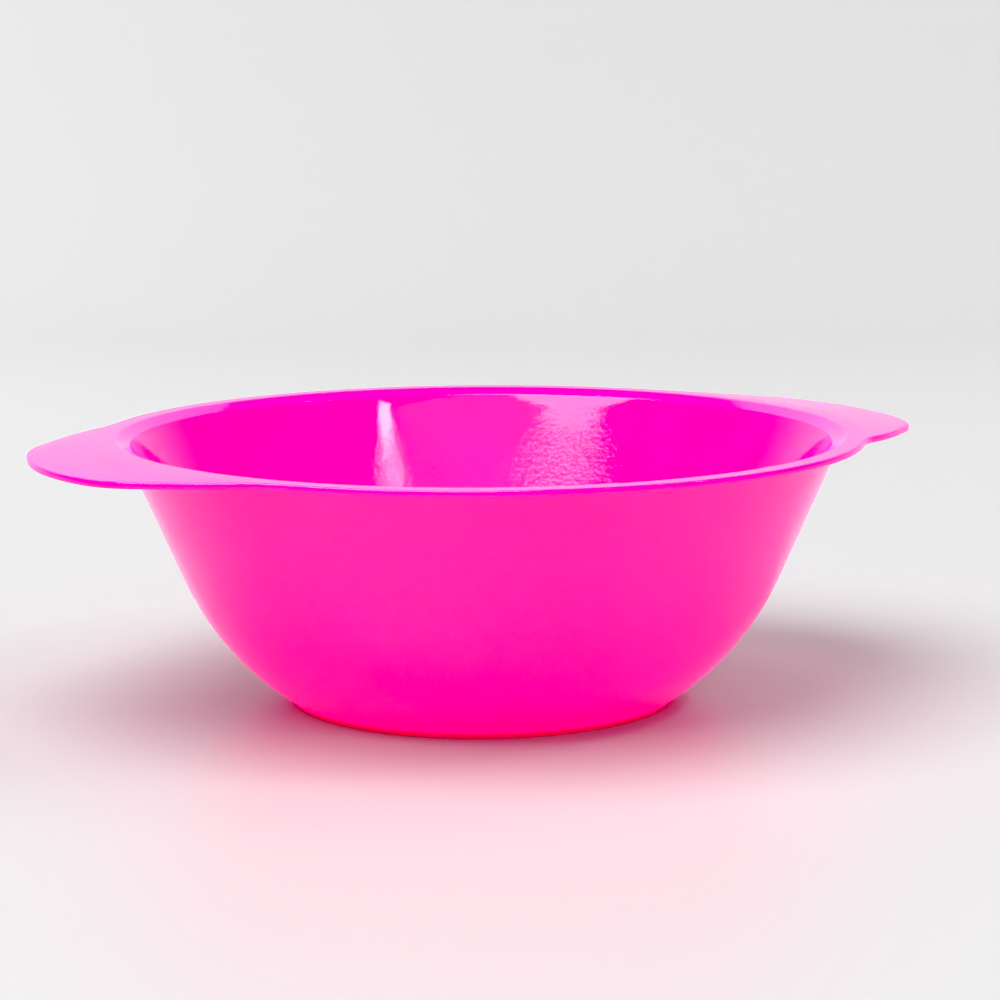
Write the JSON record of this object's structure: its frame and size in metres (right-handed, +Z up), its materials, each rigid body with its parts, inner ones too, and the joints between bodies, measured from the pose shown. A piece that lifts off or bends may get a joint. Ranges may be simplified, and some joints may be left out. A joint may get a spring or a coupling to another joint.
{
  "type": "hair color bowl",
  "caption": "Round mixing bowl for hair colour with a flat rim, a falling grip tab on each side and a soft ring under its foot.",
  "frame": {"origin": "centre of the footprint, on the surface that the bowl stands on", "axes": "+Z up through the centre of the mouth, +X towards the tip of the right grip tab, +Y across the bowl"},
  "size_m": [0.167, 0.14, 0.0492],
  "materials": {
    "pink_plastic": "smooth glossy moulded polypropylene, hot pink",
    "red_soft_ring": "smooth satin thermoplastic rubber, red"
  },
  "bodies": {
    "root": {"bowl_body": "pink_plastic", "rim_flange": "pink_plastic", "left_grip_tab": "pink_plastic", "right_grip_tab": "pink_plastic", "foot_ring": "pink_plastic", "non_slip_ring": "red_soft_ring"}
  },
  "joints": []
}
